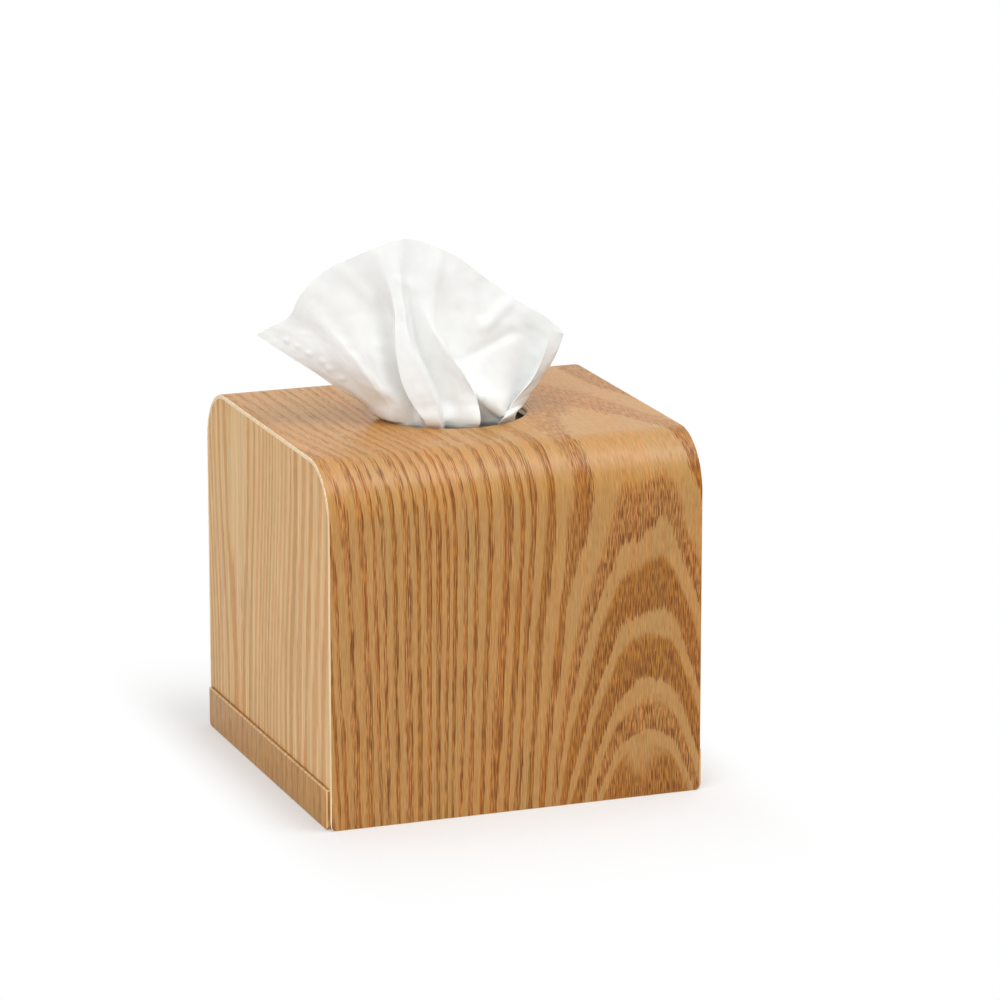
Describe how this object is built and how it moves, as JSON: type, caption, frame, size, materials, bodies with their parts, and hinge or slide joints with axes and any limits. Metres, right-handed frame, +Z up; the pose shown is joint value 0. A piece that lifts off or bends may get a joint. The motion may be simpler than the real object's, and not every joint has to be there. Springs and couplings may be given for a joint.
{
  "type": "tissue box cover",
  "caption": "Cube tissue box cover of bent plywood that drops over a base tray with side rails, with a round hole in its top for a popped-up tissue.",
  "frame": {"origin": "on the table, at the middle of the footprint", "axes": "+Z up, the front faces -Y, +X to the right seen from the front"},
  "size_m": [0.1524, 0.15, 0.2081],
  "materials": {
    "face_veneer": "satin",
    "crossband": "satin",
    "core_ply": "satin",
    "lining_veneer": "matte",
    "panel_veneer": "satin",
    "panel_core": "matte",
    "base_board": "matte",
    "rail": "satin",
    "carton": "matte",
    "slit_film": "glossy",
    "tissue": "matte",
    "popped_tissue": "matte"
  },
  "bodies": {
    "tray": {"base_board": "base_board", "left_rail": "rail", "right_rail": "rail"},
    "carton": {"carton": "carton", "slit_film": "slit_film", "tissue_stack": "tissue"},
    "cover": {"face_veneer": "face_veneer", "outer_crossband": "crossband", "core_ply": "core_ply", "inner_crossband": "crossband", "lining_veneer": "lining_veneer", "left_panel_veneer": "panel_veneer", "left_panel_core": "panel_core", "left_panel_lining": "lining_veneer", "right_panel_veneer": "panel_veneer", "right_panel_core": "panel_core", "right_panel_lining": "lining_veneer"},
    "tissue": {"popped_tissue": "popped_tissue"}
  },
  "joints": [
    {"name": "carton_lift", "type": "slide", "parent": "tray", "child": "carton", "axis": [0, 0, 1], "range_m": [0, 0.04]},
    {"name": "cover_lift", "type": "slide", "parent": "carton", "child": "cover", "axis": [0, 0, 1], "range_m": [0, 0.16]},
    {"name": "tissue_pull", "type": "slide", "parent": "cover", "child": "tissue", "axis": [0, 0, 1], "range_m": [0, 0.1]}
  ]
}
